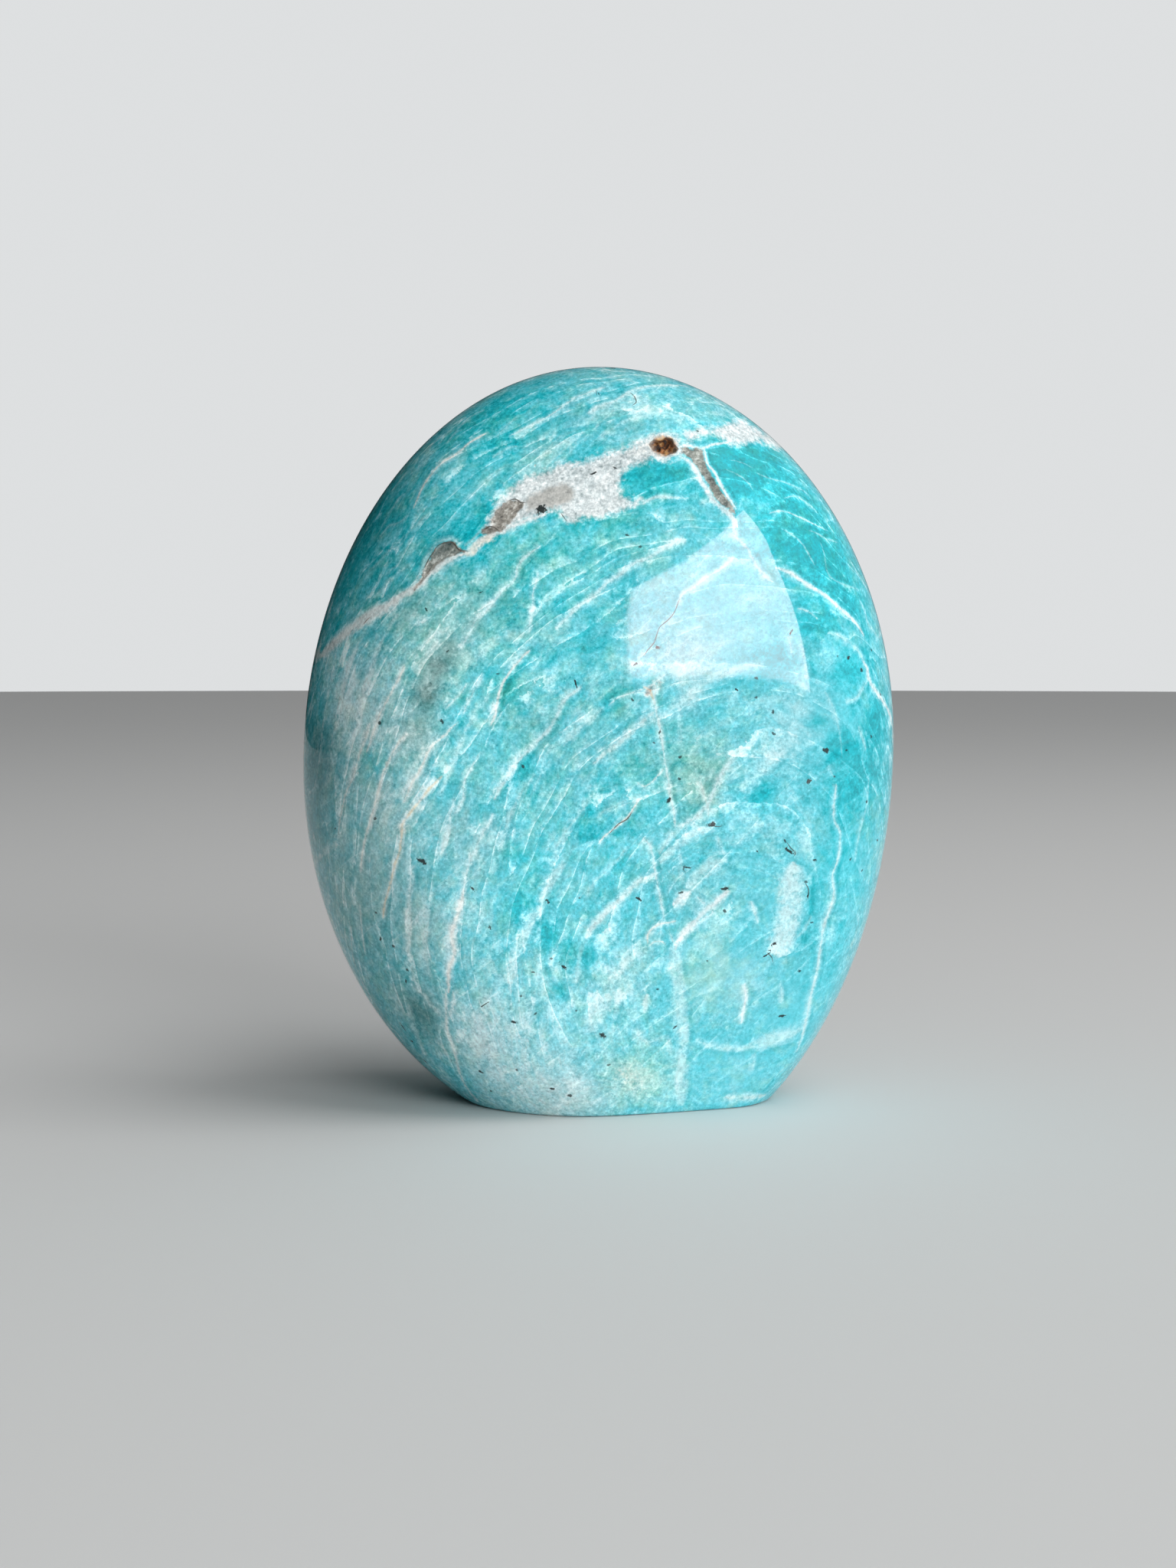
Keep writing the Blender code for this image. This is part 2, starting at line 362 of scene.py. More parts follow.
MIDDLE_VEINS = (
    (0.36, 0.05, 0.9, 0.03, 0.02, (725, 822, 742, 805, 753, 793, 769, 783, 782, 772, 799, 757, 811, 749,
     828, 736, 843, 730, 858, 722, 876, 711, 896, 704)),
    (0.22, 0.05, 0.9, 0.04, 0.04, (882, 797, 887, 785, 893, 774, 905, 768, 918, 757, 931, 749, 947, 739,
     960, 726)),
    (0.6, 0, 0.7, 0, 0, (862, 825, 872, 812, 880, 800)),
    (0.1, 0, 0.5, 0, 0, (874, 826, 872, 850, 872, 876)),
    (0.2, 0.2, 0.9, 0.05, 0.05, (851, 886, 857, 899, 853, 913, 857, 926, 859, 937, 862, 951, 865, 968,
     867, 987, 870, 1002, 872, 1014, 874, 1027, 876, 1043, 880, 1058, 881, 1071, 882, 1082)),
    (0.22, 0, 0.9, 0.05, 0.05, (882, 1080, 889, 1078, 903, 1071, 912, 1064, 924, 1052, 931, 1037,
     937, 1022, 943, 1010, 950, 999, 960, 986)),
    (0.22, 0, 0.8, 0, 0, (880, 1084, 874, 1094, 866, 1106, 861, 1118)),
    (0.1, 0, 0.7, 0, 0, (886, 922, 888, 941, 889, 957, 891, 980)),
    (0.12, 0.3, 0.8, 0, 0, (913, 1014, 918, 1033, 922, 1046, 925, 1056, 925, 1074)),
    (0.15, 0, 0.8, 0, 0, (936, 1090, 941, 1106, 945, 1115, 949, 1130)),
    (0.12, 0, 0.6, 0, 0, (885, 1103, 889, 1119, 891, 1134, 893, 1158)),
    (0.35, 0, 0.7, 0.05, 0.05, (862, 1128, 874, 1111, 887, 1102, 903, 1090, 916, 1085, 933, 1080)),
    (0.17, 0.05, 0.9, 0, 0, (839, 1104, 843, 1098, 849, 1104, 853, 1121, 855, 1136, 859, 1157, 864, 1182,
     869, 1205)),
    (0.5, 0.15, 0.9, 0.05, 0.05, (765, 1226, 776, 1207, 788, 1196, 799, 1184, 811, 1174, 824, 1160,
     839, 1149, 856, 1141)),
    (0.45, 0, 0.5, 0.03, 0, (766, 1224, 758, 1245, 754, 1265, 752, 1285)),
    (0.5, 0.35, 0.7, 0.05, 0.05, (775, 998, 788, 985, 801, 976, 813, 966, 824, 957, 839, 943, 855, 929)),
    (0.3, 0.95, 0.9, 0, 0, (838, 897, 844, 898, 850, 904, 853, 914)),
    (0.12, 0.15, 0.9, 0, 0, (793, 924, 805, 913, 816, 908, 834, 902, 849, 896, 862, 886, 872, 880)),
    (0.5, 0.05, 0.6, 0.06, 0.06, (872, 928, 885, 920, 897, 914, 912, 899, 924, 891, 939, 883, 956, 877,
     975, 871, 998, 867)),
    (0.16, 0.3, 0.9, 0, 0, (830, 1020, 841, 1027, 851, 1022, 862, 1010, 870, 1000)),
    (0.2, 0.4, 0.95, 0.05, 0, (835, 1043, 826, 1058, 820, 1067, 813, 1073, 801, 1083, 790, 1092,
     780, 1104)),
    (0.14, 0, 0.5, 0.05, 0, (776, 1072, 788, 1060, 801, 1054, 822, 1043)),
    (0.8, 0, 0.4, 0.05, 0.05, (1042, 961, 1027, 970, 1014, 987, 998, 1001, 987, 1014, 968, 1032)),
    (0.6, 0, 0.35, 0, 0, (998, 1075, 984, 1083, 970, 1095, 955, 1105)),
    (0.15, 0.05, 0.5, 0, 0, (720, 990, 706, 1012, 695, 1036, 688, 1060)),
    (0.2, 0.05, 0.5, 0.03, 0, (770, 1045, 752, 1070, 735, 1092, 722, 1115)),
    (0.2, 0.05, 0.5, 0.03, 0, (820, 1105, 800, 1130, 780, 1150, 762, 1175)),
    (0.3, 0.05, 0.5, 0.03, 0, (790, 922, 772, 940, 752, 955, 735, 975)),
)

LOWER_VEINS = (
    (0.55, 0.15, 0.95, 0.12, 0.1, (953, 1163, 943, 1171, 931, 1183, 922, 1188, 908, 1204, 897, 1215,
     887, 1227, 882, 1240)),
    (0.85, 0.05, 0.6, 0.1, 0.1, (881, 1235, 881, 1250, 882, 1265, 885, 1284, 887, 1303, 889, 1322,
     891, 1341, 893, 1360, 891, 1380, 889, 1399, 889, 1418, 891, 1444)),
    (0.45, 0, 0.8, 0, 0, (896, 1340, 894, 1365, 888, 1395, 886, 1425)),
    (0.6, 0, 0.85, 0.05, 0.05, (897, 1160, 906, 1148, 920, 1134, 931, 1127, 946, 1124)),
    (0.95, 0.1, 0.95, 0, 0, (879, 1182, 886, 1176, 892, 1171, 900, 1165)),
    (0.25, 0.1, 0.9, 0, 0, (909, 1170, 915, 1176, 922, 1181)),
    (0.25, 0.15, 0.9, 0.05, 0.05, (1092, 1022, 1089, 1068, 1097, 1086, 1095, 1119, 1087, 1145, 1089, 1170,
     1078, 1203, 1072, 1234, 1067, 1269, 1059, 1301, 1051, 1341, 1040, 1375)),
    (0.18, 0.55, 0.9, 0, 0, (846, 1236, 846, 1221, 855, 1211, 864, 1206, 874, 1205, 885, 1202)),
    (0.18, 0.55, 0.9, 0, 0, (845, 1238, 855, 1230, 866, 1230, 871, 1236)),
    (0.1, 0.5, 0.8, 0, 0, (862, 1212, 866, 1228)),
    (0.1, 0.5, 0.8, 0, 0, (872, 1208, 878, 1227, 884, 1240)),
    (0.5, 0.05, 0.5, 0, 0, (845, 1236, 832, 1246, 818, 1259, 812, 1272)),
    (0.26, 0, 0.95, 0.05, 0.05, (972, 1284, 974, 1303, 971, 1318, 968, 1338)),
    (0.2, 0, 0.7, 0, 0, (1019, 1280, 1021, 1300, 1020, 1312)),
    (1.2, 0, 0.8, 0.08, 0.08, (1046, 1345, 1033, 1350, 1023, 1353, 1008, 1357, 994, 1362, 979, 1366)),
    (0.22, 0, 0.85, 0, 0, (985, 1366, 966, 1370, 950, 1370, 931, 1367, 918, 1363, 908, 1357)),
    (0.2, 0, 0.75, 0, 0, (986, 1374, 984, 1386, 981, 1400)),
    (0.6, 0.35, 0.75, 0.05, 0.05, (946, 1433, 962, 1434, 980, 1433, 1000, 1430)),
    (0.5, 0.3, 0.7, 0, 0, (846, 1298, 843, 1308, 842, 1322)),
    (0.12, 0, 0.6, 0, 0, (872, 1349, 874, 1364, 879, 1380)),
    (0.12, 0, 0.5, 0, 0, (832, 1338, 836, 1355, 852, 1361, 872, 1350)),
    (1.1, 0, 0.55, 0.05, 0.05, (796, 1300, 786, 1315, 777, 1330, 771, 1350)),
    (0.3, 0, 0.9, 0, 0, (980, 1176, 986, 1192, 990, 1206)),
    (0.35, 0, 0.6, 0, 0, (1040, 1225, 1052, 1212, 1060, 1195)),
    (2.5, 0.05, 0.9, 0.08, 0.05, (1036, 1128, 1036, 1150, 1034, 1175, 1030, 1202, 1022, 1228, 1018, 1250)),
    (0.15, 0, 0.45, 0, 0, (812, 1290, 803, 1320, 800, 1352)),
    (0.25, 0, 0.45, 0.03, 0, (640, 1290, 632, 1330, 630, 1370)),
    (0.25, 0, 0.45, 0.03, 0, (700, 1290, 690, 1330, 687, 1365, 690, 1400)),
)

RIGHT_ARCS = (
    (0.14, 0, 0.8, 0.05, 0, (987, 617, 1000, 623, 1014, 627, 1025, 630, 1039, 636, 1052, 643, 1061, 654)),
    (0.18, 0, 0.8, 0.05, 0, (1023, 651, 1039, 648, 1050, 654, 1059, 661, 1070, 673)),
    (0.18, 0, 0.9, 0.08, 0, (1003, 671, 1014, 668, 1025, 668, 1039, 673, 1054, 680, 1066, 686, 1082, 694)),
    (0.18, 0, 0.8, 0.05, 0, (1055, 692, 1070, 698, 1079, 704, 1095, 709)),
    (0.18, 0, 0.8, 0.05, 0, (1020, 690, 1039, 702, 1050, 713, 1057, 725, 1065, 740)),
    (0.18, 0, 0.55, 0.05, 0, (1071, 707, 1077, 725, 1080, 746, 1089, 757, 1104, 764, 1122, 771)),
    (0.38, 0.1, 0.95, 0.05, 0, (1012, 741, 1032, 748, 1046, 758, 1062, 768, 1078, 778, 1093, 791,
     1107, 803, 1119, 815, 1129, 831)),
    (0.18, 0, 0.8, 0, 0, (1107, 727, 1121, 750, 1133, 770)),
    (0.18, 0, 0.8, 0.05, 0, (1122, 782, 1129, 797, 1133, 813, 1140, 823, 1148, 835)),
    (0.22, 0.55, 0.75, 0.05, 0, (1041, 795, 1052, 797, 1062, 803, 1069, 810)),
    (0.35, 0.05, 0.75, 0.05, 0, (1080, 827, 1095, 829, 1107, 838, 1119, 848, 1127, 860, 1132, 872)),
    (0.48, 0.05, 0.95, 0.05, 0, (1126, 862, 1133, 874, 1135, 887, 1144, 903, 1154, 917, 1162, 933,
     1166, 952, 1166, 970)),
    (0.28, 0, 0.8, 0, 0, (1134, 889, 1125, 901, 1119, 911, 1104, 918)),
    (0.45, 0, 0.85, 0, 0, (1121, 948, 1125, 960, 1131, 980)),
    (0.25, 0, 0.85, 0, 0, (1081, 999, 1085, 1006, 1089, 1015)),
    (0.35, 0.05, 0.9, 0.05, 0.05, (957, 677, 961, 700, 975, 715, 983, 730, 991, 743, 1002, 755,
     1010, 760)),
    (0.3, 0, 0.6, 0, 0, (1029, 829, 1032, 842, 1034, 855)),
    (0.35, 0, 0.6, 0, 0, (1046, 842, 1051, 862, 1056, 888)),
    (0.5, 0.05, 1, 0, 0, (890, 598, 900, 602, 909, 614, 916, 629, 923, 639, 930, 652, 941, 662, 952, 671,
     959, 679, 964, 690)),
    (0.28, 0.05, 1, 0, 0, (914, 582, 920, 587, 923, 604, 934, 618, 943, 636, 952, 650, 963, 667)),
    (0.3, 0.1, 1, 0, 0, (892, 582, 904, 583, 916, 586, 927, 582, 941, 579, 955, 577)),
    (0.6, 0, 0.7, 0, 0, (913, 659, 922, 655, 932, 656)),
    (0.14, 0, 0.6, 0, 0, (945, 612, 960, 618, 975, 628, 985, 642)),
    (0.14, 0, 0.5, 0, 0, (950, 600, 968, 604, 985, 612)),
    (0.16, 0, 0.5, 0.03, 0, (1076, 900, 1090, 930, 1097, 960, 1100, 990)),
    (0.16, 0, 0.5, 0.03, 0, (1135, 1010, 1132, 1050, 1122, 1090, 1115, 1130)),
)

CAP_VEINS = (
    (0.22, 0.4, 1, 0.05, 0.05, (539, 666, 546, 650, 552, 636, 566, 616, 579, 603, 596, 593, 612, 579,
     622, 573, 637, 565)),
    (0.18, 0.1, 0.9, 0.08, 0, (663, 571, 685, 560, 712, 546, 732, 533, 751, 520, 768, 513, 793, 505)),
    (0.22, 0.05, 0.9, 0.08, 0, (766, 541, 785, 530, 805, 523, 824, 510, 844, 505, 871, 503, 899, 505)),
    (0.35, 0, 0.7, 0.05, 0, (643, 598, 662, 586, 676, 583)),
    (0.12, 0, 0.7, 0, 0, (645, 573, 659, 560, 679, 541)),
    (0.16, 0, 0.6, 0, 0, (584, 578, 596, 563, 612, 546, 635, 534)),
    (0.1, 0, 0.7, 0, 0, (487, 717, 506, 689, 523, 682, 539, 666)),
    (0.1, 0, 0.7, 0, 0, (478, 790, 499, 769, 516, 752, 541, 733)),
    (0.1, 0, 0.6, 0, 0, (482, 749, 510, 718, 540, 690, 567, 664)),
    (0.1, 0, 0.6, 0, 0, (498, 755, 530, 731)),
    (0.1, 0, 0.6, 0, 0, (492, 701, 503, 680, 514, 661, 530, 640)),
    (0.12, 0, 0.6, 0, 0, (905, 507, 930, 520, 950, 535)),
    (0.12, 0, 0.5, 0, 0, (600, 660, 622, 640, 640, 622, 665, 606)),
    (0.14, 0, 0.5, 0, 0, (700, 600, 722, 585, 748, 574, 770, 560)),
    (0.14, 0, 0.5, 0, 0, (780, 575, 800, 560, 822, 548, 850, 542)),
    (0.5, 0.05, 0.45, 0, 0, (905, 545, 930, 540, 952, 545)),
)


BACK_VEINS = (
    (0.9, 0.25, 0.9, 0.05, 0, (421, 857, -450, 872, -500, 868, -560, 848, -620, 818, -700, 784, -790, 745,
     -870, 700, -940, 650, -990, 612, -1012, 588, 1016, 584)),
    (0.25, 0.3, 0.9, 0.05, 0, (-470, 935, -540, 915, -640, 872, -760, 818, -850, 775, -930, 722,
     -1010, 668, -1050, 648)),
    (0.45, 0.05, 0.95, 0.05, 0, (1166, 960, -1150, 990, -1110, 1012, -1050, 1030, -990, 1036, -930, 1062)),
    (0.3, 0.1, 0.8, 0.05, 0.05, (-600, 1010, -640, 935, -700, 880, -780, 838, -860, 818)),
    (0.4, 0.3, 0.9, 0.05, 0.05, (-705, 1380, -690, 1290, -694, 1200, -725, 1100, -780, 1005, -860, 935,
     -960, 882, -1060, 862)),
    (0.2, 0.7, 0.7, 0.03, 0.03, (-560, 1260, -570, 1180, -605, 1110, -665, 1030)),
    (0.6, 0.1, 0.7, 0.08, 0.08, (-905, 1440, -880, 1350, -870, 1260, -885, 1170, -930, 1085, -1010, 1005,
     -1090, 965)),
    (0.2, 0, 0.8, 0.03, 0.03, (-1000, 1390, -1010, 1290, -1050, 1190, -1110, 1110)),
    (0.18, 0.2, 0.8, 0.03, 0.03, (-560, 660, -620, 620, -700, 595, -780, 588, -860, 604)),
    (0.16, 0, 0.7, 0.03, 0.03, (-900, 560, -970, 640, -1020, 740, -1060, 830)),
    (0.2, 0, 0.8, 0.03, 0.03, (-500, 1020, -520, 960, -570, 900, -640, 850)),
    (0.3, 0.05, 0.6, 0.03, 0.03, (-620, 1330, -610, 1260, -630, 1180, -680, 1120)),
    (0.25, 0.05, 0.7, 0.03, 0.03, (-790, 1400, -785, 1320, -800, 1230, -845, 1150, -905, 1100)),
    (0.15, 0.05, 0.7, 0, 0, (-780, 960, -800, 1040, -815, 1120, -812, 1200)),
    (0.22, 0, 0.6, 0.03, 0.03, (441, 1100, -455, 1150, -490, 1190, -540, 1210)),
    (0.22, 0, 0.6, 0.03, 0.03, (1147, 835, -1130, 800, -1090, 780, -1040, 775, -980, 790)),
)

VEINS = MAIN_VEIN + LEFT_ARCS + MIDDLE_VEINS + LOWER_VEINS + RIGHT_ARCS + CAP_VEINS + BACK_VEINS

# Closed patches, as outlines in the photograph's pixels: white, clear and bright feldspar, and quartz.
WHITE_PATCH = (
    636, 690, 641, 673, 650, 659, 662, 648, 668, 639, 675, 632, 686, 626, 700, 621, 715, 615, 731, 609,
    744, 606, 767, 603, 776, 598, 787, 594, 798, 592, 818, 586, 838, 577, 852, 570, 870, 566, 884, 571,
    892, 588, 884, 595, 868, 600, 854, 598, 838, 605, 827, 605, 818, 612, 811, 621, 807, 635, 809, 646,
    818, 651, 829, 654, 838, 653, 827, 661, 813, 666, 798, 671, 787, 674, 775, 673, 764, 675, 753, 679,
    742, 682, 735, 673, 732, 667, 722, 665, 713, 668, 704, 674, 691, 677, 682, 679, 671, 683, 664, 688,
    652, 697, 640, 700,
)
CLEAR_PATCH = (
    686, 655, 691, 648, 700, 644, 715, 637, 726, 632, 740, 632, 749, 637, 750, 646, 744, 655, 731, 660,
    720, 664, 709, 661, 700, 664, 690, 668,
)
BRIGHT_PATCH = (
    912, 560, 927, 562, 941, 559, 954, 552, 971, 552, 986, 559, 996, 564, 1007, 571, 1016, 580, 1016, 585,
    1004, 577, 989, 575, 977, 579, 955, 577, 935, 565, 915, 568, 900, 578, 895, 565,
)
QUARTZ_BRANCH = (
    886, 584, 896, 584, 904, 587, 911, 583, 918, 588, 921, 600, 924, 611, 932, 625, 939, 636, 948, 650,
    954, 657, 962, 671, 957, 671, 950, 664, 941, 659, 932, 648, 927, 636, 918, 623, 911, 611, 902, 600,
    893, 593,
)

# Thin dark lines: (half width in mm, how brown from 0 to 1, points). The first three run along the
# upper edges of the two quartz pockets and are painted shade, tinted brown, where the polish steps down
# into them; the rest are cracks.
CRACKS_AND_EDGE_SHADE = (
    (0.1, 0.3, (566, 720, 572, 713, 580, 709, 589, 708, 595, 712, 599, 718, 612, 720)),
    (0.09, 0.3, (553, 744, 558, 734, 564, 724, 570, 716)),
    (0.12, 0.2, (664, 654, 673, 652, 680, 656, 688, 657)),
    (0.12, 0.2, (628, 697, 636, 689, 643, 688, 652, 693)),
    (0.07, 0.1, (888, 781, 880, 801, 870, 812, 861, 820, 855, 838, 847, 848, 839, 859)),
    (0.09, 0.3, (795, 1090, 808, 1076, 819, 1070, 827, 1058)),
    (0.09, 0.1, (732, 669, 736, 675, 741, 682)),
    (0.1, 1, (474, 816, 480, 809, 484, 806)),
    (0.1, 0.1, (822, 512, 828, 517, 831, 525, 825, 530)),
    (0.08, 0.1, (778, 509, 780, 518)),
    (0.1, 0.1, (1027, 1099, 1033, 1108, 1040, 1114, 1036, 1119)),
    (0.1, 0.1, (897, 1129, 891, 1134, 896, 1140)),
    (0.09, 0.1, (1000, 1243, 1007, 1249, 1010, 1258)),
    (0.12, 0, (928, 1076, 936, 1080, 944, 1078)),
    (0.1, 0.2, (1051, 1152, 1056, 1162, 1055, 1176)),
)

# Black specks of biotite: (x and y in the photograph's pixels, half length and half width in mm,
# slant of the long axis in degrees, up to the right).
SPECKS = (
    (551, 1125, 0.85, 0.4, -25), (707, 665, 0.8, 0.65, 40), (496, 944, 0.34, 0.26, 0),
    (577, 942, 0.36, 0.22, -60), (490, 1069, 0.28, 0.24, 0), (683, 1001, 0.34, 0.22, -40),
    (752, 893, 0.8, 0.13, -75), (617, 1160, 0.4, 0.2, -50), (640, 1212, 0.3, 0.22, -60),
    (715, 1177, 0.42, 0.22, -50), (497, 1226, 0.5, 0.2, 60), (438, 1082, 0.22, 0.2, 0),
    (736, 1263, 0.5, 0.24, -40), (671, 1335, 0.46, 0.18, -15), (680, 1301, 0.26, 0.2, 0),
    (787, 1352, 0.55, 0.42, -30), (722, 1422, 0.42, 0.26, 10), (744, 1431, 0.36, 0.26, 0),
    (628, 1400, 0.44, 0.24, -30), (675, 1397, 0.3, 0.22, 0), (795, 1391, 0.26, 0.2, 0),
    (514, 1236, 0.32, 0.24, -20), (532, 1267, 0.32, 0.22, -30), (530, 1282, 0.34, 0.18, 60),
    (526, 1341, 0.75, 0.15, -75), (538, 1360, 0.34, 0.22, 0), (555, 1386, 0.45, 0.2, -60),
    (491, 1192, 0.24, 0.22, 0), (696, 1270, 0.24, 0.16, 0), (720, 1252, 0.22, 0.18, 0),
    (699, 1324, 0.28, 0.16, 50), (633, 1312, 0.85, 0.09, 35), (1108, 859, 0.46, 0.34, -10),
    (1125, 875, 0.38, 0.3, -30), (1138, 849, 0.36, 0.18, -70), (1094, 857, 0.18, 0.16, 0),
    (1079, 980, 0.54, 0.46, -40), (1057, 1020, 0.46, 0.3, 50), (1064, 1123, 0.34, 0.24, 0),
    (1111, 1122, 0.34, 0.22, 40), (1146, 1097, 0.34, 0.22, 0), (1138, 962, 0.3, 0.22, -30),
    (1010, 958, 0.34, 0.22, -30), (1010, 930, 0.34, 0.22, 60), (834, 1174, 0.46, 0.18, -30),
    (1126, 1137, 0.28, 0.22, 0), (873, 1045, 0.46, 0.28, 60), (862, 956, 0.36, 0.15, 80),
    (854, 970, 0.2, 0.16, 0), (888, 989, 0.32, 0.26, 0), (887, 1017, 0.3, 0.18, -20),
    (826, 914, 0.34, 0.14, -40), (947, 1161, 0.6, 0.26, 5), (946, 1190, 0.34, 0.26, -60),
    (889, 1166, 0.36, 0.18, 20), (1011, 1233, 0.5, 0.28, 20), (1044, 1268, 0.34, 0.22, 0),
    (1021, 1327, 0.62, 0.2, 0), (882, 1341, 0.5, 0.16, 45), (859, 1292, 0.28, 0.14, 0),
    (924, 1255, 0.18, 0.16, 0), (641, 1425, 0.26, 0.22, 0), (557, 796, 0.34, 0.16, -60),
    (627, 774, 0.34, 0.12, 20), (803, 611, 0.34, 0.14, -20), (775, 618, 0.5, 0.18, 20),
    (818, 699, 0.36, 0.16, 0), (836, 714, 0.24, 0.2, 0), (859, 846, 0.44, 0.24, -20),
    (830, 868, 0.36, 0.22, 30), (1033, 826, 0.6, 0.18, 55), (988, 886, 0.28, 0.2, -30),
    (962, 901, 0.4, 0.12, -30), (988, 911, 0.26, 0.2, 0), (911, 563, 0.34, 0.16, -20),
    (1031, 1112, 0.95, 0.22, -30), (1025, 1098, 0.34, 0.2, -60), (898, 1133, 0.6, 0.11, -8),
    (989, 1112, 0.36, 0.1, -35), (930, 1077, 0.7, 0.34, 15), (757, 1173, 0.2, 0.16, 0),
    (753, 1320, 0.22, 0.18, 0), (1150, 907, 0.26, 0.2, -40), (1090, 1014, 0.22, 0.18, 0),
    (1106, 980, 0.2, 0.16, 0), (1132, 1047, 0.28, 0.22, 0), (1053, 1152, 0.26, 0.2, 0),
    (1055, 1170, 0.6, 0.12, 80), (1000, 1248, 0.7, 0.13, 30), (782, 514, 0.36, 0.12, -70),
    (1060, 1205, 0.3, 0.16, 0), (585, 850, 0.26, 0.12, 40), (650, 880, 0.22, 0.14, 0),
)

# The drift of the colour over the stone: (x and y in the photograph's pixels, radius in mm, then how
# much milkier, greener, greyer and deeper than the rest, with no zeros at the end). The deeper amount is
# partly the stone's own deeper blue-green and partly painted shade: it darkens the rims on the left and
# right and the upper left of the face, where the light falls off.
TONES = (
    (455, 900, 7, 0.35, 0, 0.05, -0.2), (500, 1040, 5, 0.02), (492, 690, 12, -0.2, 0, 0, 0.48),
    (575, 630, 9, 0.08, 0.05, 0.05), (640, 560, 7, -0.3, 0, 0, 0.06), (620, 690, 7, -0.18, -0.1, 0, 0.1),
    (560, 560, 8, -0.05, 0, 0, 0.1), (760, 500, 12, 0, 0, 0.1, 0.1), (695, 585, 6, 0.12, 0.3, 0.05),
    (850, 540, 9, 0.1, 0.1, 0.05), (935, 532, 8, 0, 0.05, 0.1, 0.1), (845, 625, 4, -0.32, -0.1),
    (880, 618, 3.5, -0.25, -0.1), (965, 615, 5, -0.5, -0.05), (982, 600, 4, -0.18), (1005, 600, 5, -0.4),
    (945, 600, 3.5, -0.35), (1060, 700, 9, -0.54), (1105, 770, 8, -0.16, 0, 0, 0.1),
    (1110, 802, 4, 0, 0, 0.12, 0.14), (1140, 880, 7, -0.12, 0, 0, 0.12),
    (1130, 1020, 9, -0.26, 0, 0.05, 0.2), (575, 722, 2.6, 0, 0, 0, 0.45), (700, 730, 9, -0.1, 0.25),
    (800, 700, 8, 0, 0.15), (780, 660, 6, -0.2, 0.2), (640, 800, 9, 0, 0.2, 0.2),
    (560, 810, 9, 0.05, 0.3, 0.3), (480, 950, 9, 0.15, 0.05, 0.22, -0.1), (420, 985, 7, 0, 0, 0.3, 0.72),
    (410, 1070, 8, 0, 0, 0.1, 0.45), (500, 1050, 10, 0.18, 0.1, 0.28), (572, 872, 2.4, -0.1, 0.15, 0.75),
    (556, 905, 2.6, -0.1, 0.15, 0.75), (588, 846, 2, -0.05, 0.15, 0.4), (548, 950, 4, 0, 0.15, 0.6),
    (485, 1000, 3, -0.3, 0.2, -0.2, 0.1), (480, 1180, 12, 0.05, 0.1, 0.45, 0.1),
    (552, 1325, 6, -0.05, 0.05, 0.7, 0.25), (622, 1352, 6, 0.32, 0, -0.2, -0.25),
    (560, 1210, 6, 0.2, 0.05, 0.1), (700, 1140, 6, 0.03), (735, 1215, 7, -0.03),
    (900, 1160, 5, 0.04, 0, 0.2, 0.08), (760, 1000, 8, -0.02), (740, 1060, 6, -0.08, 0.05, 0.05, 0.06),
    (910, 1010, 5, 0.1, 0.9, 0.2, 0.08), (840, 1000, 4, -0.14, 0.35, 0.05), (980, 1060, 8, 0.06),
    (960, 1270, 7, 0.12, 0.05), (930, 1400, 6, 0, -0.1, 0, -0.05), (1062, 1240, 2.5, -0.06, 0, 0, -0.08),
    (705, 1330, 11, 0.17), (655, 1410, 8, 0.26, 0, 0.05, -0.06), (740, 1440, 7, 0.32, 0.05, 0.4, 0.08),
    (840, 1405, 5, 0.2, 0.9, 0.05), (805, 1262, 7, 0.2), (1040, 950, 7, 0.3), (1090, 1150, 8, -0.08),
    (930, 760, 7, -0.02, -0.15), (898, 850, 4.5, 0.17, -0.1, 0.25), (900, 908, 2.4, 0.3, 0, 0.2),
    (1003, 855, 4.5, -0.28, -0.2, 0, 0.05), (835, 812, 6, -0.05, 0, 0, 0.2), (806, 800, 3, -0.14),
    (1064, 812, 3, -0.12), (858, 738, 3, -0.08), (1005, 785, 6, 0.1, -0.1), (660, 895, 2.5, -0.25, 0.5),
    (770, 960, 9, 0.07, 0.05, 0.12, 0.1), (700, 950, 5, -0.06, 0.05, 0.15, 0.06),
    (620, 1100, 6, 0.1, 0, 0.22, 0.1), (760, 1250, 3.5, -0.36), (800, 1120, 4.5, -0.2),
    (1115, 950, 12, -0.06, -0.3, 0, 0.12), (1000, 1060, 12, 0, -0.15), (1070, 1280, 14, -0.06, -0.3),
    (600, 880, 16, 0, 0.12), (954, 595, 2, -0.2), (1011, 695, 2, -0.2), (1064, 714, 2, -0.25),
    (1113, 780, 2, -0.25), (1058, 817, 2, -0.25), (1109, 874, 2, -0.25), (1068, 940, 2, -0.3),
    (1144, 944, 2.5, -0.35), (1093, 972, 2, -0.3), (1001, 1046, 2, -0.3), (805, 917, 2.2, -0.3, 0.3),
    (668, 1115, 2, -0.3), (700, 1128, 2.5, -0.3), (690, 1170, 2.5, -0.3), (673, 1192, 2, -0.25),
    (714, 1223, 2, -0.3), (727, 1293, 2, -0.3), (553, 1325, 2.5, -0.25, 0, 0, 0.3),
    (922, 1265, 5, 0.05, 0.6), (1025, 862, 2.5, -0.15, -0.2),
)

# Where the stone is clear and its grain shows least: (x and y, radius in mm, how much).
CALM = (
    (945, 1270, 9, 0.9), (1040, 1320, 12, 0.9), (1110, 1130, 11, 0.7), (960, 1400, 9, 0.8),
    (1000, 1190, 9, 0.6), (1090, 940, 10, 0.6), (945, 800, 11, 0.8), (1120, 850, 8, 0.4),
    (480, 1150, 12, 0.3),
)

